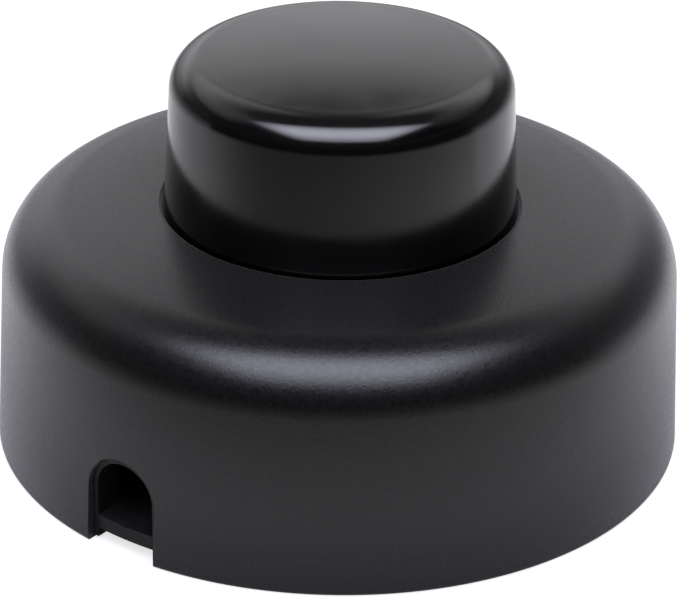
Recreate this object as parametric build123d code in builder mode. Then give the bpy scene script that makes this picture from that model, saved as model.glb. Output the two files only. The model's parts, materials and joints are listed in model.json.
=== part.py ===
from build123d import *
import os
from math import radians, tan

# In-line foot switch for a floor lamp, in millimetres. The floor is z = 0, the switch stands on the
# rim of its cover, the button points up and the two cords leave along -X and +X.

# Cover
cover_radius = 31.0
cover_draft = 2.6
cover_wall = 1.8
shoulder_radius = 6.0
top_slope = 2.7
hole_radius = 16.0
hole_height = 22.4
collar_wall = 1.5
collar_bottom = 17.5
rim_round = 0.3
hole_round = 0.35
boss_rib_length = 4.9
boss_rib_width = 1.4
boss_rib_rise = 2.0
boss_rib_height = 10.0
pilot_radius = 1.5
pilot_depth = 11.0

# Cord notches in the cover and the lips of the base that line them
cord_height = 5.45
notch_half_width = 3.65
lip_outer = 3.6
lip_inner = 3.04
lip_face_radius = 30.2
lip_back = 27.4
lip_foot = 0.3

# Base plate
base_radius = 28.85
base_under = 1.2
base_top = 2.5
screw_hole_radius = 1.65
screw_sink_radius = 2.95
screw_sink_depth = 2.4
pin_seat_radius = 4.0
cage_post_radius = 2.6
cage_pilot_radius = 1.05
clamp_pilot_radius = 1.3
grip_rib_x = 1.2
grip_rib_width = 0.8
grip_rib_length = 5.6
grip_rib_height = 0.5

# Gaps between pieces that touch, between pieces that turn, and the depth of a joint inside one piece
seat_gap = 0.02
running_gap = 0.1
overlap = 0.3
clip_gap = 0.05

# Screwed joint between cover and base
boss_circle = 24.0
boss_joint = 6.5
boss_gap = 0.05
cover_boss_radius = 3.25
cover_boss_top = 20.4
base_boss_radius = 3.7
first_boss_angle = 45

# Button
travel = 4.5
button_radius = 15.7
button_draft = 2.5
button_height = 36.4
button_edge = 2.9
button_crown = 0.45
button_wall = 1.6
skirt_wall = 1.75
cap_thickness = 2.0
inner_round = 1.2
stem_round = 0.5
flange_round = 0.3
flange_radius = 17.2
flange_bottom = 15.9
flange_top = 17.4
guide_width = 2.0
guide_inner = 16.35
guide_outer = 18.6
guide_bottom = 11.3
guide_gap = 0.2

# Spiral drive: three slots in the button's stem turn three lugs by one step in each press
step_angle = 45
stem_inner = 6.2
stem_outer = 7.6
stem_bottom = 17.5
slot_width = 2.3
slot_depth = 2.6
slot_lead_in = 1.5
slot_end_gap = 0.2
lug_radius = 1.0
lug_height = 20.0
lug_reach = 7.35
lug_count = 3

# Rotor, ratchet and pivot
pin_radius = 1.5
pin_bottom = 1.9
pin_top = 21.8
pin_point = 0.3
running_bore = 1.65
clip_bottom = 20.75
clip_thickness = 0.4
clip_radius = 3.0
clip_mouth = 2.0
clip_lobe_radius = 0.55
groove_depth = 0.35
washer_radius = 3.1
washer_thickness = 0.45
rotor_bottom = 4.6
star_bottom = 6.3
star_thickness = 0.6
star_reach = 10.7
star_arm_width = 3.4
star_disc_radius = 6.4
hub_radius = 3.4
hub_key_reach = 4.45
hub_key_width = 1.4
hub_key_depth = 0.9
hub_gap = 0.1
rotor_radius = 7.6
tooth_root = 8.4
tooth_height = 0.7
tooth_inner = 3.8
tooth_outer = 7.4
tooth_gap = 0.05
tooth_margin = 0.4
ring_rim = 0.15
ring_flange_top = 10.15
sleeve_radius = 4.6
sleeve_bore = 3.3
sleeve_floor = 13.0
sleeve_top = 21.2

# Springs
spring_turns = 6
ratchet_spring_radius = 2.4
ratchet_wire = 0.5
button_spring_radius = 8.9
button_wire = 1.1

# Mechanism cage
cage_screw_hole = 1.3
cage_bottom = 11.0
cage_top = 12.5
cage_radius = 13.2
cage_bore = 5.2
leg_inner = 11.4
leg_outer = 12.8
leg_half_width = 3.6
foot_outer = 17.3
foot_bottom = 5.0
foot_top = 6.5
cage_screw_x = 15.1

# Terminals and contacts
terminal_x = 7.0
terminal_y = 19.0
terminal_width = 7.0
terminal_top = 8.9
live_length = 5.6
through_length = 9.0
wire_bore = 1.5
strip_width = 2.8
strip_thickness = 0.4
contact_point = 6.8
strip_height = 7.3
strip_foot_inset = 0.3
strip_bend_gap = 0.8
strip_bend_round = 0.5
strip_tip_flat = 0.05
rivet_radius = 0.9
rivet_shank = 0.5
rivet_head_height = 0.35
terminal_round = 0.5
screw_lift = 0.4
terminal_bore_height = 5.3
terminal_hole_radius = 1.3
terminal_screw_pitch = 4.6
terminal_wall = 1.0
terminal_wall_gap = 0.15
terminal_wall_height = 3.5

# Cord clamps
clamp_x = 20.5
clamp_screw_y = 6.5
clamp_half_length = 9.2
clamp_half_width = 2.5
clamp_bottom = 6.7
clamp_top = 9.9
post_radius = 2.8
saddle_radius = 3.2
saddle_height = 5.65
clamp_round = 0.8
clamp_hole_radius = 1.45


def corner(section, x, y):
    """The corner of a sketch that lies nearest to a point."""
    return section.vertices().sort_by_distance((x, y))[0]


def save(part, name):
    part.label = name
    export_step(part, f"parts/{name}.step")


def screw(head_radius, head_height, shank_radius, shank_length, slots):
    """A screw with its seat at z = 0, its head above and its shank below."""
    with BuildPart() as fastener:
        with BuildSketch(Plane.XZ) as section:
            with BuildLine():
                Polyline(
                    (0, -shank_length),
                    (shank_radius * 0.4, -shank_length),
                    (shank_radius, -shank_length + shank_radius),
                    (shank_radius, 0),
                    (head_radius, 0),
                    (head_radius, head_height),
                    (0, head_height),
                    close=True,
                )
            make_face()
            fillet(corner(section, head_radius, head_height), head_height * 0.4)
        revolve(axis=Axis.Z)
        with BuildSketch(Plane.XY.offset(head_height)):
            for turn in range(slots):
                Rectangle(head_radius * 1.5, head_radius * 0.28, rotation=90 * turn)
        extrude(amount=-head_height * 0.55, mode=Mode.SUBTRACT)
    return fastener.part


def coil_spring(radius, wire, bottom, top, turns):
    """An open coil of round wire between two heights."""
    rise = top - bottom - wire
    with BuildPart() as coil:
        with BuildLine(Plane.XY.offset(bottom + wire / 2)) as path:
            Helix(pitch=rise / turns, height=rise, radius=radius)
        with BuildSketch(path.line ^ 0):
            Circle(wire / 2)
        sweep(is_frenet=True)
    return coil.part


def ramp_tooth(root, height, below, inner, outer):
    """One saw tooth that climbs from root to root + height over a step, upright at its end."""
    with BuildPart() as tooth:
        for angle, rise in ((0, 0.02), (step_angle, height)):
            plane = Plane.XZ.rotated((0, 0, angle), ordering=Extrinsic.XYZ)
            with BuildSketch(plane):
                with Locations(((inner + outer) / 2, root + (rise - below) / 2)):
                    Rectangle(1.3 * outer - 0.7 * inner, rise + below)
        loft(ruled=True)
        with BuildSketch(Plane.XY.offset(root - below)):
            Circle(outer)
            Circle(inner, mode=Mode.SUBTRACT)
        extrude(amount=below + height, mode=Mode.INTERSECT)
    return tooth.part


# Cover: a turned shell with a collar that guides the button
draft = tan(radians(cover_draft))
slope = tan(radians(top_slope))
shoulder_z = (hole_height - (cover_radius - hole_radius) * slope) / (1 - draft * slope)
shoulder_r = cover_radius - shoulder_z * draft
collar_outer = hole_radius + collar_wall
ceiling_at_collar = hole_height - collar_wall * slope - cover_wall
inner_shoulder = (shoulder_r - cover_wall, shoulder_z - cover_wall + cover_wall * slope)

with BuildPart() as cover:
    with BuildSketch(Plane.XZ) as cover_section:
        with BuildLine():
            Polyline(
                (cover_radius - cover_wall, 0),
                (cover_radius, 0),
                (shoulder_r, shoulder_z),
                (hole_radius, hole_height),
                (hole_radius, collar_bottom),
                (collar_outer, collar_bottom),
                (collar_outer, ceiling_at_collar),
                inner_shoulder,
                close=True,
            )
        make_face()
        fillet(corner(cover_section, shoulder_r, shoulder_z), shoulder_radius)
        fillet(corner(cover_section, *inner_shoulder), shoulder_radius - cover_wall)
        fillet(corner(cover_section, hole_radius, hole_height), hole_round)
        fillet(corner(cover_section, cover_radius, 0), rim_round)
    revolve(axis=Axis.Z)

    # Screw bosses, each with a rib to the wall
    with BuildSketch(Plane.XY.offset(boss_joint + boss_gap)):
        with PolarLocations(boss_circle, 4, start_angle=first_boss_angle):
            Circle(cover_boss_radius)
    extrude(amount=cover_boss_top - boss_joint - boss_gap)
    with BuildSketch(Plane.XY.offset(boss_joint + boss_rib_rise)):
        with PolarLocations(boss_circle + boss_rib_length / 2, 4, start_angle=first_boss_angle):
            Rectangle(boss_rib_length, boss_rib_width)
    extrude(amount=boss_rib_height)

    # Guide ribs that keep the button from turning
    with BuildSketch(Plane.XY.offset(guide_bottom)):
        with PolarLocations((guide_inner + guide_outer) / 2, 4, start_angle=first_boss_angle):
            Rectangle(guide_outer - guide_inner, guide_width)
    extrude(amount=ceiling_at_collar + overlap - guide_bottom)

    # Pilot holes for the housing screws
    with BuildSketch(Plane.XY.offset(boss_joint)):
        with PolarLocations(boss_circle, 4, start_angle=first_boss_angle):
            Circle(pilot_radius)
    extrude(amount=pilot_depth, mode=Mode.SUBTRACT)

    # Arched notches for the two cords, open at the rim
    with BuildSketch(Plane.YZ):
        with Locations((0, cord_height)):
            Circle(notch_half_width)
        with Locations((0, cord_height / 2 - 1)):
            Rectangle(2 * notch_half_width, cord_height + 2)
    extrude(amount=cover_radius + 1, both=True, mode=Mode.SUBTRACT)
save(cover.part, "cover")

# Lip of the base inside one cord notch: a thin arch on two legs, with a tongue between them
with BuildPart() as cord_lip:
    with BuildSketch(Plane.YZ.offset(lip_back)):
        with Locations((0, cord_height)):
            Circle(lip_outer)
        with Locations((0, (cord_height + lip_foot) / 2)):
            Rectangle(2 * lip_outer, cord_height - lip_foot)
        with Locations((0, cord_height)):
            Circle(lip_inner, mode=Mode.SUBTRACT)
        with Locations((0, (cord_height + base_top) / 2)):
            Rectangle(2 * lip_inner, cord_height - base_top, mode=Mode.SUBTRACT)
        with Locations((0, (base_under + lip_foot) / 2)):
            Rectangle(2 * lip_inner, base_under - lip_foot, mode=Mode.SUBTRACT)
    extrude(amount=cover_radius - lip_back)
    with BuildSketch(Plane.XY):
        Circle(lip_face_radius)
    extrude(amount=cover_radius, mode=Mode.INTERSECT)

# Base plate: carries the mechanism, the terminals and the clamps
with BuildPart() as base_plate:
    with BuildSketch(Plane.XY.offset(base_under)):
        Circle(base_radius)
    extrude(amount=base_top - base_under)
    with PolarLocations(0, 2):
        add(cord_lip.part)

    # Bosses under the cover's, with the screw heads sunk from below
    with BuildSketch(Plane.XY.offset(base_under)):
        with PolarLocations(boss_circle, 4, start_angle=first_boss_angle):
            Circle(base_boss_radius)
    extrude(amount=boss_joint - base_under)
    with Locations(Plane(origin=(0, 0, base_under), z_dir=(0, 0, -1))):
        with PolarLocations(boss_circle, 4, start_angle=first_boss_angle):
            CounterBoreHole(screw_hole_radius, screw_sink_radius, screw_sink_depth, depth=boss_joint)

    # Seat of the pivot pin, posts of the cage and posts of the clamps
    with BuildSketch(Plane.XY.offset(base_top)):
        Circle(pin_seat_radius)
    extrude(amount=rotor_bottom - running_gap - base_top)
    with BuildSketch(Plane.XY.offset(base_top)):
        with Locations((-cage_screw_x, 0), (cage_screw_x, 0)):
            Circle(cage_post_radius)
    extrude(amount=foot_bottom - base_top)
    with BuildSketch(Plane.XY.offset(base_top)):
        with GridLocations(2 * clamp_x, 2 * clamp_screw_y, 2, 2):
            Circle(post_radius)
    extrude(amount=clamp_bottom - base_top)
    with BuildSketch(Plane.XY.offset(pin_bottom)):
        Circle(pin_radius + seat_gap / 2)
        with Locations((-cage_screw_x, 0), (cage_screw_x, 0)):
            Circle(cage_pilot_radius)
        with GridLocations(2 * clamp_x, 2 * clamp_screw_y, 2, 2):
            Circle(clamp_pilot_radius)
    extrude(amount=clamp_bottom, mode=Mode.SUBTRACT)

    # Low ribs that bite the cord under each clamp
    with BuildSketch(Plane.XY.offset(base_top)):
        with GridLocations(2 * clamp_x, 0, 2, 1):
            with Locations((-grip_rib_x, 0), (grip_rib_x, 0)):
                Rectangle(grip_rib_width, grip_rib_length)
    extrude(amount=grip_rib_height)

    # Walls that hold the terminals: one outside each, and one inside each of the through terminals
    wall_reach = terminal_width / 2 + terminal_wall_gap + terminal_wall / 2
    with BuildSketch(Plane.XY.offset(base_top)):
        with GridLocations(2 * terminal_x, 2 * (terminal_y + wall_reach), 2, 2):
            Rectangle(through_length, terminal_wall)
        with GridLocations(2 * terminal_x, 0, 2, 1):
            with Locations((0, -terminal_y + wall_reach)):
                Rectangle(through_length, terminal_wall)
    extrude(amount=terminal_wall_height)
save(base_plate.part, "base_plate")

# Button: a hollow cap with a flange that stops under the collar and a stem down its middle
side = tan(radians(button_draft))
edge_z = button_height - button_crown
edge_r = button_radius - (edge_z - hole_height) * side
crown_sphere = (edge_r**2 + button_crown**2) / (2 * button_crown)
crown_mid = (edge_r / 2, button_height - (edge_r / 2) ** 2 / (2 * crown_sphere))
ceiling = button_height - cap_thickness
skirt_inner = button_radius - skirt_wall
ceiling_r = edge_r - button_wall

with BuildPart() as button:
    with BuildSketch(Plane.XZ) as button_section:
        with BuildLine():
            ThreePointArc((0, button_height), crown_mid, (edge_r, edge_z))
            Polyline(
                (edge_r, edge_z),
                (button_radius, hole_height),
                (button_radius, flange_top),
                (flange_radius, flange_top),
                (flange_radius, flange_bottom),
                (skirt_inner, flange_bottom),
                (ceiling_r, ceiling),
                (stem_outer, ceiling),
                (stem_outer, stem_bottom),
                (stem_inner, stem_bottom),
                (stem_inner, ceiling),
                (0, ceiling),
                (0, button_height),
            )
        make_face()
        fillet(corner(button_section, edge_r, edge_z), button_edge)
        fillet(corner(button_section, ceiling_r, ceiling), inner_round)
        fillet(corner(button_section, stem_outer, ceiling), stem_round)
        fillet(corner(button_section, flange_radius, flange_top), flange_round)
        fillet(corner(button_section, flange_radius, flange_bottom), flange_round)
    revolve(axis=Axis.Z)

    # Notches in the flange that run on the cover's guide ribs
    with BuildSketch(Plane.XY.offset(flange_bottom - 1)):
        with PolarLocations(guide_inner - guide_gap + 1, 4, start_angle=first_boss_angle):
            Rectangle(2, guide_width + 2 * guide_gap)
    extrude(amount=flange_top - flange_bottom + 2, mode=Mode.SUBTRACT)

# One spiral slot of the stem: it climbs one step in one travel, from the open end to a round end
lead = travel * 360 / step_angle
slot_start = stem_bottom - slot_lead_in
slot_end = lug_height + travel + slot_end_gap
slot_radius = (stem_inner + stem_outer) / 2
slot_turn = (slot_end - slot_start) / lead * 360
first_slot_angle = (slot_start - lug_height) / lead * 360
slot_end_plane = Plane(origin=(0, 0, slot_end), z_dir=Vector(1, 0, 0).rotate(Axis.Z, slot_turn))

with BuildPart() as spiral_slot:
    with BuildLine(Plane.XY.offset(slot_start)) as slot_path:
        Helix(pitch=lead, height=slot_end - slot_start, radius=slot_radius)
    with BuildSketch(Plane(origin=slot_path.line @ 0, x_dir=(1, 0, 0), z_dir=slot_path.line % 0)):
        Rectangle(slot_depth, slot_width)
    sweep(is_frenet=True)
    with BuildSketch(slot_end_plane.offset(slot_radius - slot_depth / 2)):
        Circle(slot_width / 2)
    extrude(amount=slot_depth)

with BuildPart() as slotted_button:
    add(button.part)
    with PolarLocations(0, lug_count, start_angle=first_slot_angle):
        add(spiral_slot.part, mode=Mode.SUBTRACT)
save(slotted_button.part, "button")

# Pivot pin with the groove of its clip
with BuildPart() as pivot_pin:
    with BuildSketch(Plane.XY.offset(pin_bottom)):
        Circle(pin_radius)
    extrude(amount=pin_top - pin_bottom)
    chamfer(pivot_pin.edges().sort_by(Axis.Z)[-1], pin_point)
    with BuildSketch(Plane.XY.offset(clip_bottom - clip_gap)):
        Circle(pin_radius + 1)
        Circle(pin_radius - groove_depth, mode=Mode.SUBTRACT)
    extrude(amount=clip_thickness + 2 * clip_gap, mode=Mode.SUBTRACT)
save(pivot_pin.part, "pivot_pin")

with BuildPart() as retaining_clip:
    with BuildSketch(Plane.XY.offset(clip_bottom)):
        Circle(clip_radius)
        Circle(pin_radius - groove_depth + clip_gap, mode=Mode.SUBTRACT)
        with Locations((clip_radius / 2, 0)):
            Rectangle(clip_radius, clip_mouth, mode=Mode.SUBTRACT)
        with PolarLocations(pin_radius + running_gap, 3):
            Circle(clip_lobe_radius, mode=Mode.SUBTRACT)
    extrude(amount=clip_thickness)
save(retaining_clip.part, "retaining_clip")

with BuildPart() as thrust_washer:
    with BuildSketch(Plane.XY.offset(clip_bottom - clip_gap - washer_thickness)):
        Circle(washer_radius)
        Circle(running_bore, mode=Mode.SUBTRACT)
    extrude(amount=washer_thickness)
save(thrust_washer.part, "thrust_washer")

# Contact rotor: hub with four keys, flange and eight saw teeth on top
tooth = ramp_tooth(tooth_root, tooth_height, overlap, tooth_inner, tooth_outer)
with BuildPart() as contact_rotor:
    with BuildSketch(Plane.XY.offset(rotor_bottom)):
        Circle(hub_radius)
    extrude(amount=star_bottom + star_thickness - rotor_bottom)
    with BuildSketch(Plane.XY.offset(star_bottom - hub_key_depth)):
        with PolarLocations(hub_key_reach / 2, 4):
            Rectangle(hub_key_reach, hub_key_width)
    extrude(amount=star_thickness + hub_key_depth)
    with BuildSketch(Plane.XY.offset(star_bottom + star_thickness)):
        Circle(rotor_radius)
    extrude(amount=tooth_root - star_bottom - star_thickness)
    with PolarLocations(0, 360 // step_angle):
        add(tooth)
    with BuildSketch(Plane.XY.offset(rotor_bottom - 1)):
        Circle(running_bore)
    extrude(amount=tooth_root, mode=Mode.SUBTRACT)
save(contact_rotor.part, "contact_rotor")

# Contact star: four brass arms that close the switch at every second step
with BuildPart() as contact_star:
    with BuildSketch(Plane.XY.offset(star_bottom)):
        Circle(star_disc_radius)
        with PolarLocations(0, 4, start_angle=45):
            with Locations((star_reach / 2 - star_arm_width / 4, 0)):
                Rectangle(star_reach - star_arm_width / 2, star_arm_width)
        with PolarLocations(star_reach - star_arm_width / 2, 4, start_angle=45):
            Circle(star_arm_width / 2)
        Circle(hub_radius + hub_gap, mode=Mode.SUBTRACT)
        with PolarLocations((hub_key_reach + hub_gap) / 2, 4):
            Rectangle(hub_key_reach + hub_gap, hub_key_width + 2 * hub_gap, mode=Mode.SUBTRACT)
    extrude(amount=star_thickness)
save(contact_star.part, "contact_star")

# Drive ring: a flange with matching teeth below, and a sleeve with three lugs
ring_bottom = tooth_root + tooth_gap
ring_face = tooth_root + tooth_height + tooth_gap
space_inner = tooth_inner - tooth_margin
space_outer = tooth_outer + tooth_margin
tooth_space = ramp_tooth(ring_bottom, tooth_height, overlap, space_inner, space_outer)
with BuildPart() as drive_ring:
    with BuildSketch(Plane.XZ) as ring_section:
        with BuildLine():
            Polyline(
                (running_bore, ring_face),
                (tooth_inner + ring_rim, ring_face),
                (tooth_inner + ring_rim, ring_bottom + seat_gap),
                (tooth_outer - ring_rim, ring_bottom + seat_gap),
                (tooth_outer - ring_rim, ring_flange_top),
                (sleeve_radius, ring_flange_top),
                (sleeve_radius, sleeve_top),
                (sleeve_bore, sleeve_top),
                (sleeve_bore, sleeve_floor),
                (running_bore, sleeve_floor),
                close=True,
            )
        make_face()
    revolve(axis=Axis.Z)
    with PolarLocations(0, 360 // step_angle):
        add(tooth_space, mode=Mode.SUBTRACT)
    for lug in range(lug_count):
        outward = Vector(1, 0, 0).rotate(Axis.Z, 360 * lug / lug_count)
        lug_root = outward * (sleeve_bore + overlap) + Vector(0, 0, lug_height)
        with BuildSketch(Plane(origin=lug_root, z_dir=outward)):
            Circle(lug_radius)
        extrude(amount=lug_reach - sleeve_bore - overlap)
save(drive_ring.part, "drive_ring")

# Springs: one holds the drive ring down under the washer, the other lifts the button
washer_bottom = clip_bottom - clip_gap - washer_thickness
ratchet_spring = coil_spring(
    ratchet_spring_radius,
    ratchet_wire,
    sleeve_floor + seat_gap,
    washer_bottom - clip_gap,
    spring_turns,
)
save(ratchet_spring, "ratchet_spring")
button_spring = coil_spring(
    button_spring_radius,
    button_wire,
    cage_top + seat_gap,
    ceiling - seat_gap,
    spring_turns,
)
save(button_spring, "button_spring")

# Mechanism cage: a bridge over the rotor that carries the button spring
with BuildPart() as mechanism_cage:
    with BuildSketch(Plane.XY.offset(cage_bottom)):
        Circle(cage_radius)
    extrude(amount=cage_top - cage_bottom)
    with BuildSketch(Plane.XZ):
        with BuildLine():
            Polyline(
                (leg_inner, cage_top),
                (leg_inner, foot_bottom),
                (foot_outer, foot_bottom),
                (foot_outer, foot_top),
                (leg_outer, foot_top),
                (leg_outer, cage_top),
                close=True,
            )
        make_face()
        mirror(about=Plane.YZ)
    extrude(amount=leg_half_width, both=True)
    with BuildSketch(Plane.XY.offset(foot_bottom)):
        Circle(cage_bore)
        with Locations((-cage_screw_x, 0), (cage_screw_x, 0)):
            Circle(cage_screw_hole)
    extrude(amount=cage_top, mode=Mode.SUBTRACT)
save(mechanism_cage.part, "mechanism_cage")

# Contact springs: strips from under the live terminals to the arms of the star
strip_foot_end = terminal_y + terminal_width / 2 - strip_foot_inset
strip_bend = terminal_y - terminal_width / 2 - strip_bend_gap
strip_tip = contact_point - strip_width / 2
for sign, name in ((-1, "contact_spring_left"), (1, "contact_spring_right")):
    with BuildPart() as strip:
        with BuildSketch(Plane.YZ.offset(sign * contact_point)) as strip_section:
            with BuildLine():
                Polyline(
                    (strip_foot_end, base_top + seat_gap),
                    (strip_bend, base_top + seat_gap),
                    (strip_bend, strip_height),
                    (strip_tip, strip_height),
                    (strip_tip, strip_height + strip_thickness),
                    (strip_bend + strip_thickness, strip_height + strip_thickness),
                    (strip_bend + strip_thickness, base_top + seat_gap + strip_thickness),
                    (strip_foot_end, base_top + seat_gap + strip_thickness),
                    close=True,
                )
            make_face()
            fillet(corner(strip_section, strip_bend, base_top), strip_thickness + strip_bend_round)
            fillet(corner(strip_section, strip_bend + strip_thickness, base_top + 1), strip_bend_round)
            fillet(corner(strip_section, strip_bend, strip_height), strip_bend_round)
            fillet(
                corner(strip_section, strip_bend + 1, strip_height + 1),
                strip_thickness + strip_bend_round,
            )
        extrude(amount=strip_width / 2, both=True)
        tips = strip.edges().filter_by(Axis.Z).sort_by(Axis.Y)[:2]
        fillet(tips, strip_width / 2 - strip_tip_flat)
        with BuildSketch(Plane.XY):
            with Locations((sign * contact_point, contact_point)):
                Circle(rivet_shank + 2 * seat_gap)
        extrude(amount=cage_bottom, mode=Mode.SUBTRACT)
    save(strip.part, name)

# Contact rivets: domed below, with a shank through the strip and a flat head above
rivet_seat = strip_height - seat_gap / 2
rivet_head = strip_height + strip_thickness + seat_gap / 2
rivet_top = rivet_head + rivet_head_height
dome_tip = star_bottom + star_thickness + tooth_gap
dome_rise = rivet_seat - dome_tip
dome_sphere = (rivet_radius**2 + dome_rise**2) / (2 * dome_rise)
dome_mid = (rivet_radius / 2, dome_tip + dome_sphere - (dome_sphere**2 - rivet_radius**2 / 4) ** 0.5)
with BuildPart() as contact_rivet:
    with BuildSketch(Plane.XZ):
        with BuildLine():
            ThreePointArc((0, dome_tip), dome_mid, (rivet_radius, rivet_seat))
            Polyline(
                (rivet_radius, rivet_seat),
                (rivet_shank, rivet_seat),
                (rivet_shank, rivet_head),
                (rivet_radius, rivet_head),
                (rivet_radius, rivet_top),
                (0, rivet_top),
                (0, dome_tip),
            )
        make_face()
    revolve(axis=Axis.Z)
with BuildPart() as contact_rivets:
    with Locations((-contact_point, contact_point), (contact_point, contact_point)):
        add(contact_rivet.part)
save(contact_rivets.part, "contact_rivets")

# Terminals: brass blocks with a cross bore for the wire and clamping screws on top
screw_pair = (-terminal_screw_pitch / 2, terminal_screw_pitch / 2)
terminals = (
    ("live_in_terminal", -1, 1, live_length, (0,)),
    ("live_out_terminal", 1, 1, live_length, (0,)),
    ("neutral_terminal", -1, -1, through_length, screw_pair),
    ("earth_terminal", 1, -1, through_length, screw_pair),
)
terminal_screw_points = []
for name, side_x, side_y, length, screw_offsets in terminals:
    seat = base_top + seat_gap + (strip_thickness + seat_gap if side_y > 0 else 0)
    screw_points = [(side_x * terminal_x + offset, side_y * terminal_y) for offset in screw_offsets]
    terminal_screw_points += screw_points
    with BuildPart() as terminal:
        with BuildSketch(Plane.XY.offset(seat)):
            with Locations((side_x * terminal_x, side_y * terminal_y)):
                RectangleRounded(length, terminal_width, terminal_round)
        extrude(amount=terminal_top - seat)
        with BuildSketch(Plane.YZ.offset(side_x * terminal_x)):
            with Locations((side_y * terminal_y, terminal_bore_height)):
                Circle(wire_bore)
        extrude(amount=length, both=True, mode=Mode.SUBTRACT)
        with BuildSketch(Plane.XY.offset(terminal_top)):
            with Locations(*screw_points):
                Circle(terminal_hole_radius)
        extrude(amount=terminal_bore_height - terminal_top, mode=Mode.SUBTRACT)
    save(terminal.part, name)

# Screws, one node for each kind
terminal_screw = screw(head_radius=2.1, head_height=1.5, shank_radius=1.25, shank_length=2.6, slots=1)
with BuildPart() as terminal_screws:
    for x, y in terminal_screw_points:
        with Locations((x, y, terminal_top + screw_lift)):
            add(terminal_screw)
save(terminal_screws.part, "terminal_screws")

cage_screw = screw(head_radius=1.9, head_height=1.3, shank_radius=1.0, shank_length=4.4, slots=2)
with BuildPart() as cage_screws:
    with Locations((-cage_screw_x, 0, foot_top + seat_gap), (cage_screw_x, 0, foot_top + seat_gap)):
        add(cage_screw)
save(cage_screws.part, "cage_screws")

clamp_screw = screw(head_radius=2.3, head_height=1.5, shank_radius=1.25, shank_length=7.4, slots=2)
with BuildPart() as clamp_screws:
    for x in (-clamp_x, clamp_x):
        for y in (-clamp_screw_y, clamp_screw_y):
            with Locations((x, y, clamp_top + seat_gap)):
                add(clamp_screw)
save(clamp_screws.part, "clamp_screws")

housing_screw = screw(head_radius=2.7, head_height=1.9, shank_radius=1.45, shank_length=12.5, slots=2)
with BuildPart() as housing_screws:
    with Locations(Plane(origin=(0, 0, base_under + screw_sink_depth - seat_gap), z_dir=(0, 0, -1))):
        with PolarLocations(boss_circle, 4, start_angle=first_boss_angle):
            add(housing_screw)
save(housing_screws.part, "housing_screws")

# Cord clamps: bars with a saddle over the cord, screwed down on two posts
for sign, name in ((-1, "cord_clamp_left"), (1, "cord_clamp_right")):
    with BuildPart() as clamp:
        with BuildSketch(Plane.YZ.offset(sign * clamp_x)) as clamp_section:
            with Locations((0, (clamp_bottom + clamp_top + seat_gap) / 2)):
                Rectangle(2 * clamp_half_length, clamp_top - clamp_bottom - seat_gap)
            fillet(corner(clamp_section, -clamp_half_length, clamp_top), clamp_round)
            fillet(corner(clamp_section, clamp_half_length, clamp_top), clamp_round)
            with Locations((0, saddle_height)):
                Circle(saddle_radius, mode=Mode.SUBTRACT)
        extrude(amount=clamp_half_width, both=True)
        with BuildSketch(Plane.XY.offset(clamp_bottom - 1)):
            with Locations((sign * clamp_x, -clamp_screw_y), (sign * clamp_x, clamp_screw_y)):
                Circle(clamp_hole_radius)
        extrude(amount=clamp_top, mode=Mode.SUBTRACT)
    save(clamp.part, name)
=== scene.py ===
import json
import math

import bmesh
import bpy
from mathutils import Matrix, Vector


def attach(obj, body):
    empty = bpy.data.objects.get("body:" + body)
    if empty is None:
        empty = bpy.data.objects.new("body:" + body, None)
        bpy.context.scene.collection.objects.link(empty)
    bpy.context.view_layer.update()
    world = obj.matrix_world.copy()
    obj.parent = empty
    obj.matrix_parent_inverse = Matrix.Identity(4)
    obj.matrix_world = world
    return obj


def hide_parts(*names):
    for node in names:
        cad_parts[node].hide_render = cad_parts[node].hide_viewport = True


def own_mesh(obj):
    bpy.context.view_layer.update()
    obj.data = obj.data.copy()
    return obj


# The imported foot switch, loaded as a fixed frame in metres
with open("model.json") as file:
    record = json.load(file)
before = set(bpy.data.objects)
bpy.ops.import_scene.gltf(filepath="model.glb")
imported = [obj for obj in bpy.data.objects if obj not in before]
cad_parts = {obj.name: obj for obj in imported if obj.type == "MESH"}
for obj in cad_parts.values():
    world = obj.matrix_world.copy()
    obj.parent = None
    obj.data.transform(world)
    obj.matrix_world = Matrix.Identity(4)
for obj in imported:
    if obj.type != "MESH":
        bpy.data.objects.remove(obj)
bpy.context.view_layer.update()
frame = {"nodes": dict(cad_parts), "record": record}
nodes = frame["nodes"]
MM = 0.001

# Driving dimensions of the cover, in millimetres
COVER_RADIUS = 31.0
COVER_DRAFT = math.radians(2.6)
COVER_WALL = 1.8
SHOULDER_RADIUS = 6.0
TOP_SLOPE = math.radians(2.7)
HOLE_RADIUS = 16.0
HOLE_HEIGHT = 22.4
HOLE_ROUND = 0.35
RIM_ROUND = 0.3
COLLAR_WALL = 1.5
COLLAR_BOTTOM = 17.5
CORD_HEIGHT = 5.45
NOTCH_HALF_WIDTH = 3.65
ABOVE_NOTCH = 9.6
BOSS_CIRCLE = 24.0
BOSS_RADIUS = 3.25
BOSS_BOTTOM = 6.55
BOSS_TOP = 20.4
BOSS_RIB = (24.0, 28.9, 1.4)
BOSS_RIB_HEIGHTS = (8.5, 18.5)
PILOT_RADIUS = 1.5
PILOT_TOP = 17.5
GUIDE_INNER = 16.35
GUIDE_OUTER = 18.6
GUIDE_WIDTH = 2.0
GUIDE_BOTTOM = 11.3
GUIDE_GAP = 0.2
OVERLAP = 0.3
FIRST_BOSS = 45

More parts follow.
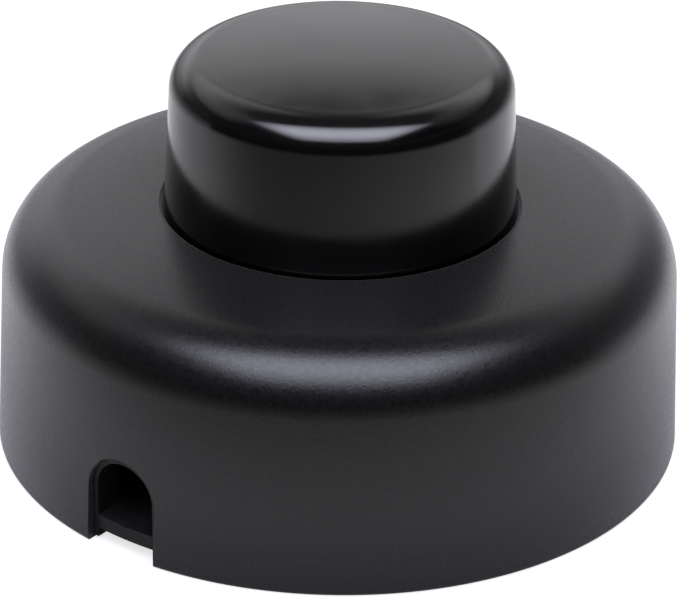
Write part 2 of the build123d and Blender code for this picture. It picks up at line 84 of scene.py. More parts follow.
# Driving dimensions of the button, in millimetres
BUTTON_RADIUS = 15.7
BUTTON_DRAFT = math.radians(2.5)
BUTTON_HEIGHT = 36.4
BUTTON_EDGE = 2.9
BUTTON_CROWN = 0.45
BUTTON_WALL = 1.6
SKIRT_WALL = 1.75
CAP_THICKNESS = 2.0
INNER_ROUND = 1.2
FLANGE_RADIUS = 17.2
FLANGE_BOTTOM = 15.9
FLANGE_TOP = 17.4
FLANGE_ROUND = 0.3
STEM_INNER = 6.2
STEM_OUTER = 7.6
STEM_BOTTOM = 17.5
SLOT_WIDTH = 2.3
SLOT_DEPTH = 2.6
SLOT_START = 16.0
SLOT_END = 24.7
SLOT_LEAD = 36.0
SLOT_ANGLE = -40
SLOT_COUNT = 3

# Spring under the button, in millimetres
SPRING_SEAT = 12.52
SPRING_TOP = 34.38
SPRING_RADIUS = 8.9
SPRING_WIRE = 1.1
SPRING_TURNS = 6

# How far a cutter reaches past what it cuts, and how far the crown stops before its rounded edge,
# in millimetres
CUT_PAST = 2
CROWN_GAP = 0.1

# Facets
COVER_SEGMENTS = 360
BUTTON_SEGMENTS = 300
SHOULDER_STEPS = 28
INSIDE_STEPS = 10
CROWN_STEPS = 24
EDGE_STEPS = 24
SMALL_STEPS = 4
MIDDLE_STEPS = 6
ARCH_STEPS = 48
POST_STEPS = 48
SLOT_STEPS = 24
SLOT_END_STEPS = 32
COIL_STEPS = 48
WIRE_STEPS = 16
CRISP_ANGLE = 30
COIL_CRISP_ANGLE = 40

# Camera, fitted to the outlines in the photograph
CAMERA_ANGLE = math.radians(-143.1)
CAMERA_DISTANCE = 0.279
CAMERA_HEIGHT = 0.15491
CAMERA_PITCH = 0.47251
CAMERA_ROLL = 0.01442
CAMERA_TURN = -0.0003
CAMERA_LENS = 183.21
CAMERA_SENSOR = 36.0
CAMERA_CLIP = (0.01, 20)

# Light. A stop is (place, share). The glow and the panel heights run over the sine of the height angle,
# the glow's spread over the cosine from its middle, the dim light over the share behind, the panels and
# the flag over the share to the right, and the floor, the flag's fade and the softbox over metres
FLOOR_DROP = -0.00002
FLOOR_SIZE = 8.0
FLOOR_COLOUR = (0.8, 0.8, 0.8)
FLOOR_ROUGHNESS = 0.9
FLOOR_LIFT = 0.72
# The floor's glow in gloss carries a painted shadow close behind the object and a painted fade, darker far
# off and to the left
FLOOR_PAINTED_SHADOW = ((0.037, 0), (0.053, 1))
FLOOR_PAINTED_FADE = ((0.06, 1), (0.26, 0))
LIT_TO_RIGHT = 0.03
SHADOW_BEHIND = 0.012
GLOW_LEVEL = 1.8
GLOW = (
    (0, 0.36),
    (0.12, 0.46),
    (0.22, 0.72),
    (0.29, 1),
    (0.33, 0.8),
    (0.39, 0.77),
    (0.42, 0.75),
    (0.432, 0.6),
    (0.445, 0.28),
    (0.457, 0.03),
    (0.5, 0.01),
)
GLOW_SPREAD = ((0.45, 0.05), (0.7, 0.22), (0.85, 0.75), (0.97, 1))
GLOW_TURN = math.radians(10)
GLOW_COLOUR = (0.97, 0.965, 1.0)
PANEL_LEVEL = 1.6
PANEL_LEFT = (
    (0.03, 0),
    (0.08, 0.45),
    (0.14, 0.7),
    (0.28, 0.95),
    (0.45, 0.9),
    (0.6, 0.78),
    (0.68, 0.62),
    (0.78, 0.48),
    (0.92, 0.16),
)
PANEL_RIGHT = (
    (0.03, 0),
    (0.08, 0.45),
    (0.14, 0.7),
    (0.28, 0.97),
    (0.45, 1),
    (0.58, 0.75),
    (0.7, 0.36),
    (0.92, 0.04),
)
PANEL_HEIGHT = ((0.38, 0), (0.46, 0.85), (0.5, 1), (0.63, 1), (0.74, 0.6), (0.8, 0.4), (0.87, 0))
PANEL_BEHIND = ((-0.25, 0), (0.1, 1))
DIM = ((-0.2, 0.02), (0.2, 0.16))
SOFTBOX_START = 0.06
SOFTBOX_END = 0.84
SOFTBOX_HEIGHT = 0.6
SOFTBOX_WIDTH = 0.96
SOFTBOX_POWER = 4.2
SOFTBOX_GLOSS = 8.1
SOFTBOX_SHARE = ((0, 0.15), (0.2, 1), (0.45, 1), (0.7, 0.5), (1, 0.1))
SOFTBOX_SIDES = ((-0.48, 0.1), (-0.3, 1), (0.3, 1), (0.48, 0.1))
SOFTBOX_COLOUR = (0.84, 0.845, 1.0)
CARD_ABOVE_LAMP = 0.001
FLAG_START = 0.064
FLAG_END = 1.3
FLAG_SHARE = (
    (-1, 1.05),
    (-0.96, 0.8),
    (-0.88, 0.56),
    (-0.75, 0.44),
    (-0.5, 0.4),
    (0, 0.5),
    (0.5, 0.7),
    (0.9, 0.92),
    (1, 1.05),
)
FLAG_FADE = ((0.08, 1), (0.16, 0.35), (0.28, 0))
FLAG_HEIGHT = 0.0005
FLAG_STEPS = 48


def link(obj):
    bpy.context.scene.collection.objects.link(obj)
    return obj


# Materials
class Shader:
    """A node material with one Principled shader and short ways to add to it."""

    def __init__(self, name, **sockets):
        self.material = bpy.data.materials.new(name)
        self.material.use_nodes = True
        self.tree = self.material.node_tree
        self.principled = self.tree.nodes["Principled BSDF"]
        for socket, value in sockets.items():
            self.principled.inputs[socket.replace("_", " ")].default_value = value
        self.place = self.tree.nodes.new("ShaderNodeTexCoord").outputs["Object"]

    def node(self, kind, **settings):
        made = self.tree.nodes.new(kind)
        for key, value in settings.items():
            if hasattr(made, key):
                setattr(made, key, value)
            else:
                made.inputs[key.replace("_", " ")].default_value = value
        return made

    def join(self, source, target):
        self.tree.links.new(source, target)

    def noise(self, scale, detail=2.0, stretch=None):
        made = self.node("ShaderNodeTexNoise", Scale=scale, Detail=detail)
        if stretch:
            mapping = self.node("ShaderNodeMapping", Scale=stretch)
            self.join(self.place, mapping.inputs["Vector"])
            self.join(mapping.outputs["Vector"], made.inputs["Vector"])
        else:
            self.join(self.place, made.inputs["Vector"])
        return made.outputs["Fac"]

    def span(self, source, low, high, start=0.35, end=0.65):
        made = self.node("ShaderNodeMapRange")
        made.inputs["From Min"].default_value = start
        made.inputs["From Max"].default_value = end
        made.inputs["To Min"].default_value = low
        made.inputs["To Max"].default_value = high
        self.join(source, made.inputs["Value"])
        return made.outputs["Result"]

    def rough(self, source, low, high):
        self.join(self.span(source, low, high), self.principled.inputs["Roughness"])

    def colour(self, source, low, high):
        made = self.node("ShaderNodeMix", data_type="RGBA")
        for socket in made.inputs:
            if socket.name == "A" and socket.type == "RGBA":
                socket.default_value = (*low, 1)
            if socket.name == "B" and socket.type == "RGBA":
                socket.default_value = (*high, 1)
        self.join(self.span(source, 0, 1), made.inputs["Factor"])
        result = [s for s in made.outputs if s.type == "RGBA"][0]
        self.join(result, self.principled.inputs["Base Color"])

    def bump(self, sources, distance):
        normal = None
        for source, strength in sources:
            made = self.node("ShaderNodeBump", Strength=strength, Distance=distance)
            self.join(source, made.inputs["Height"])
            if normal:
                self.join(normal, made.inputs["Normal"])
            normal = made.outputs["Normal"]
        self.join(normal, self.principled.inputs["Normal"])


def cover_plastic():
    s = Shader("cover_satin_black", IOR=1.4, Sheen_Weight=0.5, Sheen_Roughness=0.38)
    grain = s.noise(5200, 2.0)
    s.colour(grain, (0.0011, 0.0011, 0.0013), (0.0023, 0.0023, 0.0025))
    s.rough(s.noise(2600, 2.0), 0.26, 0.32)
    s.bump([(grain, 0.7), (s.noise(2200, 2.0), 0.35)], 0.00002)
    return s.material


def button_plastic():
    s = Shader("button_gloss_black", IOR=1.5)
    s.colour(s.noise(60, 3.0), (0.0008, 0.0008, 0.0009), (0.0014, 0.0014, 0.0015))
    s.rough(s.noise(260, 4.0), 0.14, 0.18)
    s.bump([(s.noise(140, 1.0), 0.10)], 0.00003)
    return s.material


def base_plastic():
    s = Shader("base_matt_black", Roughness=0.55, IOR=1.37)
    s.colour(s.noise(1500, 3.0), (0.0014, 0.0014, 0.0016), (0.0026, 0.0026, 0.0028))
    s.rough(s.noise(600, 3.0), 0.50, 0.62)
    s.bump([(s.noise(3000, 2.0), 0.25)], 0.00002)
    return s.material


def clamp_plastic():
    s = Shader("clamp_black", Roughness=0.45, IOR=1.49)
    s.colour(s.noise(120, 3.0), (0.022, 0.022, 0.023), (0.032, 0.032, 0.033))
    s.rough(s.noise(700, 3.0), 0.38, 0.52)
    return s.material


def insulating_plastic():
    s = Shader("natural_nylon", Roughness=0.42, IOR=1.53, Subsurface_Weight=0.15)
    s.principled.inputs["Subsurface Radius"].default_value = (0.0008, 0.0006, 0.0004)
    s.colour(s.noise(150, 3.0), (0.60, 0.56, 0.44), (0.68, 0.64, 0.52))
    s.rough(s.noise(700, 3.0), 0.36, 0.48)
    return s.material


def metal(name, low, high, rough_low, rough_high, grain=(1, 1, 1)):
    s = Shader(name, Metallic=1.0)
    s.colour(s.noise(300, 3.0), low, high)
    streaks = s.noise(900, 3.0, stretch=grain)
    s.rough(streaks, rough_low, rough_high)
    s.bump([(streaks, 0.12)], 0.00001)
    return s.material


slots = {
    "cover_plastic": cover_plastic(),
    "button_plastic": button_plastic(),
    "base_plastic": base_plastic(),
    "clamp_plastic": clamp_plastic(),
    "insulating_plastic": insulating_plastic(),
    "contact_brass": metal("contact_brass", (0.66, 0.43, 0.15), (0.76, 0.52, 0.20), 0.22, 0.36, (1, 6, 1)),
    "terminal_brass": metal("terminal_brass", (0.62, 0.42, 0.16), (0.72, 0.5, 0.21), 0.24, 0.4, (6, 1, 1)),
    "rivet_silver": metal("rivet_silver", (0.72, 0.71, 0.68), (0.80, 0.79, 0.76), 0.18, 0.30),
    "steel": metal("bright_steel", (0.52, 0.52, 0.53), (0.62, 0.62, 0.63), 0.18, 0.30, (1, 1, 8)),
    "spring_steel": metal("spring_wire", (0.40, 0.40, 0.41), (0.50, 0.50, 0.51), 0.22, 0.34),
    "screw_steel": metal("zinc_plate", (0.55, 0.56, 0.58), (0.68, 0.69, 0.70), 0.22, 0.38),
}
slot_of = {part["node"]: part["material_slot"] for part in frame["record"]["subparts"]}


def finish_node(node):
    """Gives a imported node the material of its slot."""
    obj = nodes[node]
    obj.data.materials.clear()
    obj.data.materials.append(slots[slot_of[node]])


for name in nodes:
    finish_node(name)


# Turned and swept shapes
X, Y, Z = Vector((1, 0, 0)), Vector((0, 1, 0)), Vector((0, 0, 1))
BOSS_ANGLES = [FIRST_BOSS + 90 * i for i in range(4)]


def arc(centre, radius, start, end, steps):
    """Points of an arc in the (radius, height) plane, angles in degrees."""
    out = []
    for i in range(steps + 1):
        a = math.radians(start + (end - start) * i / steps)
        out.append((centre[0] + radius * math.cos(a), centre[1] + radius * math.sin(a)))
    return out


def round_corner(before, at, after, radius, steps):
    """Points of the arc that rounds a corner of a profile."""
    at, before, after = Vector(at), Vector(before), Vector(after)
    u, w = (before - at).normalized(), (after - at).normalized()
    half = u.angle(w) / 2
    centre = at + (u + w).normalized() * radius / math.sin(half)
    first = at + u * radius / math.tan(half) - centre
    last = at + w * radius / math.tan(half) - centre
    turn = first.angle_signed(last)
    return [tuple(centre + Matrix.Rotation(-turn * i / steps, 2) @ first) for i in range(steps + 1)]


def lathe(name, profile, segments, closed=True):
    """A turned mesh from (radius, height) points in millimetres; points on the axis become one vertex."""
    mesh = bpy.data.meshes.new(name)
    bm = bmesh.new()
    rings = []
    for r, z in profile:
        if r < 1e-6:
            rings.append([bm.verts.new((0, 0, z * MM))] * segments)
            continue
        ring = []
        for i in range(segments):
            a = 2 * math.pi * i / segments
            ring.append(bm.verts.new((r * math.cos(a) * MM, r * math.sin(a) * MM, z * MM)))
        rings.append(ring)
    pairs = list(zip(rings, rings[1:]))
    if closed:
        pairs.append((rings[-1], rings[0]))
    for low, high in pairs:
        for i in range(segments):
            j = (i + 1) % segments
            corners = []
            for v in (low[i], low[j], high[j], high[i]):
                if v not in corners:
                    corners.append(v)
            if len(corners) > 2:
                bm.faces.new(corners)
    bmesh.ops.recalc_face_normals(bm, faces=bm.faces)
    bm.to_mesh(mesh)
    bm.free()
    return link(bpy.data.objects.new(name, mesh))


def loft(name, solids):
    """Closed solids in one mesh, each through a row of sections of (x, y, z) points in millimetres."""
    mesh = bpy.data.meshes.new(name)
    bm = bmesh.new()
    for sections in solids:
        rings = [[bm.verts.new(Vector(point) * MM) for point in section] for section in sections]
        for low, high in zip(rings, rings[1:]):
            for i in range(len(low)):
                j = (i + 1) % len(low)
                bm.faces.new((low[i], low[j], high[j], high[i]))
        bm.faces.new(rings[0])
        bm.faces.new(rings[-1])
    bmesh.ops.recalc_face_normals(bm, faces=bm.faces)
    bm.to_mesh(mesh)
    bm.free()
    return link(bpy.data.objects.new(name, mesh))


def outward(degrees):
    """The level direction at an angle."""
    a = math.radians(degrees)
    return Vector((math.cos(a), math.sin(a), 0))


def circle(centre, radius, across, up, steps):
    """A round section about a centre, in the plane of two directions."""
    out = []
    for i in range(steps):
        a = 2 * math.pi * i / steps
        out.append(centre + across * radius * math.cos(a) + up * radius * math.sin(a))
    return out


def upright(outline, low, high):
    """The two end sections of an upright bar."""
    return [[Vector((p.x, p.y, z)) for p in outline] for z in (low, high)]


def post(angle, radius, low, high):
    """A round post on the circle of the bosses."""
    return upright(circle(outward(angle) * BOSS_CIRCLE, radius, X, Y, POST_STEPS), low, high)


def rib(angle, inner, outer, width, low, high):
    """An upright rib that runs outward between two radii."""
    along, side = outward(angle), outward(angle + 90) * width / 2
    corners = [along * inner - side, along * outer - side, along * outer + side, along * inner + side]
    return upright(corners, low, high)


def combine(piece, operation, tool):
    """Adds a second mesh to a piece or cuts it away, and removes it."""
    change = piece.modifiers.new(operation, "BOOLEAN")
    change.object = tool
    change.operation = operation
    change.solver = "EXACT"
    apply_modifiers(piece)
    bpy.data.objects.remove(tool)


def apply_modifiers(obj):
    """Turns an object's modifiers into its mesh."""
    bpy.context.view_layer.update()
    evaluated = obj.evaluated_get(bpy.context.evaluated_depsgraph_get())
    mesh = bpy.data.meshes.new_from_object(evaluated)
    obj.modifiers.clear()
    obj.data = mesh


def shade(obj, degrees):
    """Smooth shading, with edges sharper than the angle kept crisp."""
    obj.data.polygons.foreach_set("use_smooth", [True] * len(obj.data.polygons))
    obj.data.set_sharp_from_angle(angle=math.radians(degrees))


def make_cover():
    draft, slope = math.tan(COVER_DRAFT), math.tan(TOP_SLOPE)
    corner_z = (HOLE_HEIGHT - (COVER_RADIUS - HOLE_RADIUS) * slope) / (1 - draft * slope)
    corner_r = COVER_RADIUS - corner_z * draft
    collar_outer = HOLE_RADIUS + COLLAR_WALL
    ceiling = HOLE_HEIGHT - COLLAR_WALL * slope - COVER_WALL
    foot_in, foot_out = (COVER_RADIUS - COVER_WALL, 0), (COVER_RADIUS, 0)
    shoulder = (corner_r, corner_z)
    above_notch = (COVER_RADIUS - ABOVE_NOTCH * draft, ABOVE_NOTCH)
    hole, collar = (HOLE_RADIUS, HOLE_HEIGHT), (HOLE_RADIUS, COLLAR_BOTTOM)
    inner = (corner_r - COVER_WALL, corner_z - COVER_WALL + COVER_WALL * slope)
    profile = [
        foot_in,
        *round_corner(foot_in, foot_out, shoulder, RIM_ROUND, SMALL_STEPS),
        above_notch,
        *round_corner(foot_out, shoulder, hole, SHOULDER_RADIUS, SHOULDER_STEPS),
        *round_corner(shoulder, hole, collar, HOLE_ROUND, MIDDLE_STEPS),
        collar,
        (collar_outer, COLLAR_BOTTOM),
        (collar_outer, ceiling),
        *round_corner((collar_outer, ceiling), inner, foot_in, SHOULDER_RADIUS - COVER_WALL, INSIDE_STEPS),
    ]
    shell = lathe("cover_shell", profile, COVER_SEGMENTS)
    bosses = [post(a, BOSS_RADIUS, BOSS_BOTTOM, BOSS_TOP) for a in BOSS_ANGLES]
    boss_ribs = [rib(a, *BOSS_RIB, *BOSS_RIB_HEIGHTS) for a in BOSS_ANGLES]
    guides = [
        rib(a, GUIDE_INNER, GUIDE_OUTER, GUIDE_WIDTH, GUIDE_BOTTOM, ceiling + OVERLAP) for a in BOSS_ANGLES
    ]
    pilots = [post(a, PILOT_RADIUS, 0, PILOT_TOP) for a in BOSS_ANGLES]
    half = NOTCH_HALF_WIDTH
    arch = [(half, -CUT_PAST), *arc((0, CORD_HEIGHT), half, 0, 180, ARCH_STEPS), (-half, -CUT_PAST)]
    reach = COVER_RADIUS + CUT_PAST
    notches = [[Vector((x, y, z)) for y, z in arch] for x in (-reach, reach)]
    combine(shell, "UNION", loft("bosses", bosses))
    combine(shell, "UNION", loft("boss_ribs", boss_ribs))
    combine(shell, "UNION", loft("guides", guides))
    combine(shell, "DIFFERENCE", loft("pilots", pilots))
    combine(shell, "DIFFERENCE", loft("notches", [notches]))
    shade(shell, CRISP_ANGLE)
    shell.data.materials.append(slots["cover_plastic"])
    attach(shell, "housing")
    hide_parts("cover")


make_cover()


def slot_sections(first_angle):
    """Sections of one spiral slot of the stem, square to its path."""
    radius = (STEM_INNER + STEM_OUTER) / 2
    climb = math.atan(SLOT_LEAD / (2 * math.pi * radius))
    sections = []
    for i in range(SLOT_STEPS + 1):
        z = SLOT_START + (SLOT_END - SLOT_START) * i / SLOT_STEPS
        angle = first_angle + (z - SLOT_START) / SLOT_LEAD * 360
        out, round_it = outward(angle), outward(angle + 90)
        centre = out * radius + Z * z
        wide = (Z * math.cos(climb) - round_it * math.sin(climb)) * SLOT_WIDTH / 2
        deep = out * SLOT_DEPTH / 2
        inner, outer = centre - deep, centre + deep
        sections.append([inner - wide, outer - wide, outer + wide, inner + wide])
    return sections


def slot_end(first_angle):
    """The round upper end of one spiral slot, as a bar that points outward."""
    angle = first_angle + (SLOT_END - SLOT_START) / SLOT_LEAD * 360
    out, across = outward(angle), outward(angle + 90)
    middle = (STEM_INNER + STEM_OUTER) / 2
    ends = (middle - SLOT_DEPTH / 2, middle + SLOT_DEPTH / 2)
    return [circle(out * r + Z * SLOT_END, SLOT_WIDTH / 2, across, Z, SLOT_END_STEPS) for r in ends]


def make_button():
    edge_z = BUTTON_HEIGHT - BUTTON_CROWN
    edge_r = BUTTON_RADIUS - (edge_z - HOLE_HEIGHT) * math.tan(BUTTON_DRAFT)
    sphere = (edge_r**2 + BUTTON_CROWN**2) / (2 * BUTTON_CROWN)
    crown = []
    for i in range(CROWN_STEPS + 1):
        r = edge_r * i / CROWN_STEPS
        crown.append((r, BUTTON_HEIGHT - sphere + math.sqrt(sphere**2 - r**2)))
    foot = (BUTTON_RADIUS, HOLE_HEIGHT)
    rounded = round_corner(crown[-2], (edge_r, edge_z), foot, BUTTON_EDGE, EDGE_STEPS)
    crown = [p for p in crown if p[0] < rounded[0][0] - CROWN_GAP]
    ceiling, ceiling_r = BUTTON_HEIGHT - CAP_THICKNESS, edge_r - BUTTON_WALL
    skirt = (BUTTON_RADIUS - SKIRT_WALL, FLANGE_BOTTOM)
    neck = (BUTTON_RADIUS, FLANGE_TOP)
    flange = ((FLANGE_RADIUS, FLANGE_TOP), (FLANGE_RADIUS, FLANGE_BOTTOM))
    profile = [
        *crown,
        *rounded,
        foot,
        neck,
        *round_corner(neck, flange[0], flange[1], FLANGE_ROUND, SMALL_STEPS),
        *round_corner(flange[0], flange[1], skirt, FLANGE_ROUND, SMALL_STEPS),
        skirt,
        *round_corner(skirt, (ceiling_r, ceiling), (STEM_OUTER, ceiling), INNER_ROUND, MIDDLE_STEPS),
        (STEM_OUTER, ceiling),
        (STEM_OUTER, STEM_BOTTOM),
        (STEM_INNER, STEM_BOTTOM),
        (STEM_INNER, ceiling),
        (0, ceiling),
    ]
    cap = lathe("button_cap", profile, BUTTON_SEGMENTS, closed=False)
    inner = GUIDE_INNER - GUIDE_GAP
    width = GUIDE_WIDTH + 2 * GUIDE_GAP
    low, high = FLANGE_BOTTOM - CUT_PAST / 2, FLANGE_TOP + CUT_PAST / 2
    notches = [rib(a, inner, inner + CUT_PAST, width, low, high) for a in BOSS_ANGLES]
    first_angles = [SLOT_ANGLE + 360 * i / SLOT_COUNT for i in range(SLOT_COUNT)]
    combine(cap, "DIFFERENCE", loft("flange_notches", notches))
    combine(cap, "DIFFERENCE", loft("slots", [slot_sections(a) for a in first_angles]))
    combine(cap, "DIFFERENCE", loft("slot_ends", [slot_end(a) for a in first_angles]))
    shade(cap, CRISP_ANGLE)
    cap.data.materials.append(slots["button_plastic"])
    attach(cap, "button")
    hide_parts("button")


make_button()


def make_spring():
    """The coil under the button; it stands on the cage."""
    rise = SPRING_TOP - SPRING_SEAT - SPRING_WIRE
    slope = math.atan(rise / (2 * math.pi * SPRING_RADIUS * SPRING_TURNS))
    count = SPRING_TURNS * COIL_STEPS
    sections = []
    for i in range(count + 1):
        angle = 360 * SPRING_TURNS * i / count
        out, ahead = outward(angle), outward(angle + 90)
        centre = out * SPRING_RADIUS + Z * (SPRING_SEAT + SPRING_WIRE / 2 + rise * i / count)
        up = Z * math.cos(slope) - ahead * math.sin(slope)
        sections.append(circle(centre, SPRING_WIRE / 2, out, up, WIRE_STEPS))
    coil = loft("button_coil", [sections])
    shade(coil, COIL_CRISP_ANGLE)
    coil.data.materials.append(slots["spring_steel"])
    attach(coil, "housing")
    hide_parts("button_spring")
    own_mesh(coil)


make_spring()


# Camera
def make_camera():
    data = bpy.data.cameras.new("camera")
    data.lens = CAMERA_LENS
    data.sensor_width = CAMERA_SENSOR
    camera = link(bpy.data.objects.new("camera", data))
    camera.location = (
        CAMERA_DISTANCE * math.cos(CAMERA_ANGLE),
        CAMERA_DISTANCE * math.sin(CAMERA_ANGLE),
        CAMERA_HEIGHT,
    )
    heading = CAMERA_ANGLE + math.pi / 2 + CAMERA_TURN
    turn = Matrix.Rotation(heading, 4, "Z") @ Matrix.Rotation(math.pi / 2 - CAMERA_PITCH, 4, "X")
    camera.rotation_euler = (turn @ Matrix.Rotation(CAMERA_ROLL, 4, "Z")).to_euler()
    data.clip_start, data.clip_end = CAMERA_CLIP
    bpy.context.scene.camera = camera


make_camera()

# Floor and studio light
front = Vector((math.cos(CAMERA_ANGLE), math.sin(CAMERA_ANGLE), 0))
right = Vector((-front.y, front.x, 0))


def flat_card(name, centre, width, depth):
    """A level card whose width runs across the camera's view."""
    mesh = bpy.data.meshes.new(name)
    corners = []
    for across, along in ((-1, -1), (1, -1), (1, 1), (-1, 1)):
        corners.append(centre + right * across * width / 2 + front * along * depth / 2)
    mesh.from_pydata([tuple(c) for c in corners], [], [(0, 1, 2, 3)])
    return link(bpy.data.objects.new(name, mesh))


def only_in_gloss(card):
    """Leaves a card visible in reflections alone."""
    card.visible_camera = False
    card.visible_diffuse = False
    card.visible_transmission = False
    card.visible_volume_scatter = False
    card.visible_shadow = False


def glow(name, colour):
    """A material that shines; set_strength says how much."""
    material = bpy.data.materials.new(name)
    material.use_nodes = True
    tree = material.node_tree
    tree.nodes.remove(tree.nodes["Principled BSDF"])
    emission = tree.nodes.new("ShaderNodeEmission")
    emission.inputs["Color"].default_value = (*colour, 1)
    tree.links.new(emission.outputs[0], tree.nodes["Material Output"].inputs["Surface"])
    return material


def set_strength(material, strength):
    material.node_tree.links.new(strength, material.node_tree.nodes["Emission"].inputs["Strength"])


class Sums:
    """Short ways to build the value graph of a light."""

    def __init__(self, tree):
        self.tree = tree
        self.place = tree.nodes.new("ShaderNodeTexCoord")

    def math(self, operation, a, b):
        made = self.tree.nodes.new("ShaderNodeMath")
        made.operation = operation
        for socket, value in zip(made.inputs, (a, b)):
            if isinstance(value, (int, float)):
                socket.default_value = value
            else:
                self.tree.links.new(value, socket)
        return made.outputs[0]

    def vector(self, operation, source, other=None, output="Value"):
        made = self.tree.nodes.new("ShaderNodeVectorMath")
        made.operation = operation
        self.tree.links.new(source, made.inputs[0])
        if other:
            made.inputs[1].default_value = other
        return made.outputs[output]

    def curve(self, source, stops):
        """A share that runs straight between stops, and level beyond the ends."""
        first, last = stops[0][0], stops[-1][0]
        span = self.tree.nodes.new("ShaderNodeMapRange")
        span.inputs["From Min"].default_value = first
        span.inputs["From Max"].default_value = last
        self.tree.links.new(source, span.inputs["Value"])
        made = self.tree.nodes.new("ShaderNodeValToRGB")
        elements = made.color_ramp.elements
        while len(elements) < len(stops):
            elements.new(0.5)
        for element, (place, share) in zip(elements, stops):
            element.position = (place - first) / (last - first)
            element.color = (share, share, share, 1)
        self.tree.links.new(span.outputs["Result"], made.inputs["Fac"])
        return made.outputs["Color"]


def make_floor():
    """A pale floor, white to the camera; in gloss it glows, with a painted shadow close behind the object
    and a painted fade that is darker far off and to the left.
    """
    floor = flat_card("floor", Vector((0, 0, FLOOR_DROP)), FLOOR_SIZE, FLOOR_SIZE)
    material = bpy.data.materials.new("pale_floor")
    material.use_nodes = True
    tree = material.node_tree
    shader = tree.nodes["Principled BSDF"]
    shader.inputs["Base Color"].default_value = (*FLOOR_COLOUR, 1)
    shader.inputs["Roughness"].default_value = FLOOR_ROUGHNESS
    shader.inputs["Specular IOR Level"].default_value = 0.0
    shader.inputs["Emission Color"].default_value = (1, 1, 1, 1)
    sums = Sums(tree)
    path = tree.nodes.new("ShaderNodeLightPath")
    place = sums.place.outputs["Object"]
    # Painted shadow and painted fade: the floor's glow seen in gloss is dimmed close behind the object and
    # far off, more to the left
    painted_shadow = sums.curve(sums.vector("DISTANCE", place, tuple(-front * SHADOW_BEHIND)), FLOOR_PAINTED_SHADOW)
    painted_fade = sums.curve(sums.vector("DISTANCE", place, tuple(right * LIT_TO_RIGHT)), FLOOR_PAINTED_FADE)
    gloss = sums.math("MULTIPLY", path.outputs["Is Glossy Ray"], sums.math("MULTIPLY", painted_shadow, painted_fade))
    seen = sums.math("MAXIMUM", path.outputs["Is Camera Ray"], path.outputs["Is Transmission Ray"])
    lift = sums.math("MULTIPLY", sums.math("MAXIMUM", seen, gloss), FLOOR_LIFT)
    tree.links.new(lift, shader.inputs["Emission Strength"])
    floor.data.materials.append(material)


def make_world():
    """White to the camera; to the object a pale band low behind, a panel at each side, and dark above."""
    world = bpy.data.worlds.new("studio")
    bpy.context.scene.world = world
    world.use_nodes = True
    tree = world.node_tree
    sums = Sums(tree)
    background = tree.nodes["Background"]
    background.inputs["Color"].default_value = (*GLOW_COLOUR, 1)
    way = sums.place.outputs["Generated"]
    height = sums.vector("DOT_PRODUCT", way, Z)
    behind = sums.vector("DOT_PRODUCT", way, -front)
    to_right = sums.vector("DOT_PRODUCT", way, right)
    middle = -front * math.cos(GLOW_TURN) - right * math.sin(GLOW_TURN)
    turned = sums.vector("DOT_PRODUCT", way, middle)
    glow_share = sums.math("MULTIPLY", sums.curve(height, GLOW), sums.curve(turned, GLOW_SPREAD))
    band = sums.math("MULTIPLY", glow_share, GLOW_LEVEL)
    stops = [(-place, share) for place, share in reversed(PANEL_LEFT)] + list(PANEL_RIGHT)
    panel = sums.math("MULTIPLY", sums.curve(to_right, stops), sums.curve(height, PANEL_HEIGHT))
    panel = sums.math("MULTIPLY", panel, sums.curve(behind, PANEL_BEHIND))
    strength = sums.math("MAXIMUM", band, sums.math("MULTIPLY", panel, PANEL_LEVEL))
    strength = sums.math("MAXIMUM", strength, sums.curve(behind, DIM))
    path = tree.nodes.new("ShaderNodeLightPath")
    final = tree.nodes.new("ShaderNodeMix")
    final.data_type = "FLOAT"
    tree.links.new(path.outputs["Is Camera Ray"], final.inputs["Factor"])
    tree.links.new(strength, final.inputs["A"])
    final.inputs["B"].default_value = 1.0
    tree.links.new(final.outputs["Result"], background.inputs["Strength"])


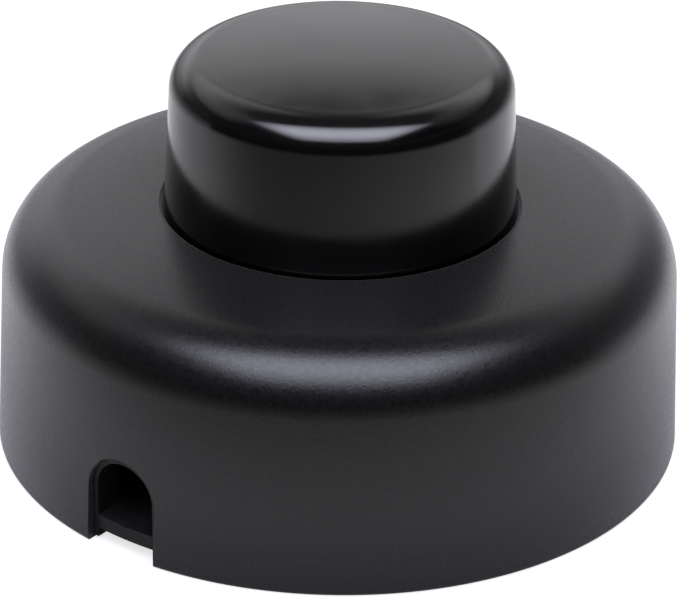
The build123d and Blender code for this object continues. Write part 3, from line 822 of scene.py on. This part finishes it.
def make_softbox():
    """An overhead softbox: a lamp at a plain level, and a card that shows brighter in gloss."""
    depth = SOFTBOX_END - SOFTBOX_START
    centre = front * (SOFTBOX_START + depth / 2) + Vector((0, 0, SOFTBOX_HEIGHT))
    data = bpy.data.lights.new("softbox", "AREA")
    data.shape = "RECTANGLE"
    data.size, data.size_y = SOFTBOX_WIDTH, depth
    data.energy = SOFTBOX_POWER
    data.color = SOFTBOX_COLOUR
    lamp = link(bpy.data.objects.new("softbox", data))
    lamp.location = centre
    lamp.rotation_euler = (0, 0, math.atan2(right.y, right.x))
    card = flat_card("softbox_face", centre + Vector((0, 0, CARD_ABOVE_LAMP)), SOFTBOX_WIDTH, depth)
    material = glow("softbox_face", SOFTBOX_COLOUR)
    sums = Sums(material.node_tree)
    forward = sums.vector("DOT_PRODUCT", sums.place.outputs["Object"], front)
    stops = [(SOFTBOX_START + depth * place, share) for place, share in SOFTBOX_SHARE]
    to_right = sums.vector("DOT_PRODUCT", sums.place.outputs["Object"], right)
    share = sums.math("MULTIPLY", sums.curve(forward, stops), sums.curve(to_right, SOFTBOX_SIDES))
    set_strength(material, sums.math("MULTIPLY", share, SOFTBOX_GLOSS))
    card.data.materials.append(material)
    only_in_gloss(card)


def make_flag():
    """A dim half ring on the floor in front; it keeps the shoulder's lower edge dark."""
    mesh = bpy.data.meshes.new("flag")
    rings = []
    for radius in (FLAG_START, FLAG_END):
        for i in range(FLAG_STEPS + 1):
            a = math.pi * (i / FLAG_STEPS - 0.5)
            point = (front * math.cos(a) + right * math.sin(a)) * radius
            rings.append((point.x, point.y, FLAG_HEIGHT))
    row = FLAG_STEPS + 1
    mesh.from_pydata(rings, [], [(i, i + 1, i + row + 1, i + row) for i in range(FLAG_STEPS)])
    flag = link(bpy.data.objects.new("flag", mesh))
    material = glow("flag", (1, 1, 1))
    sums = Sums(material.node_tree)
    place = sums.place.outputs["Object"]
    distance = sums.vector("LENGTH", place)
    way = sums.vector("NORMALIZE", place, output="Vector")
    to_right = sums.vector("DOT_PRODUCT", way, right)
    share, fade = sums.curve(to_right, FLAG_SHARE), sums.curve(distance, FLAG_FADE)
    set_strength(material, sums.math("MULTIPLY", share, fade))
    flag.data.materials.append(material)
    only_in_gloss(flag)


make_floor()
make_world()
make_softbox()
make_flag()
bpy.context.scene.view_settings.view_transform = "Standard"
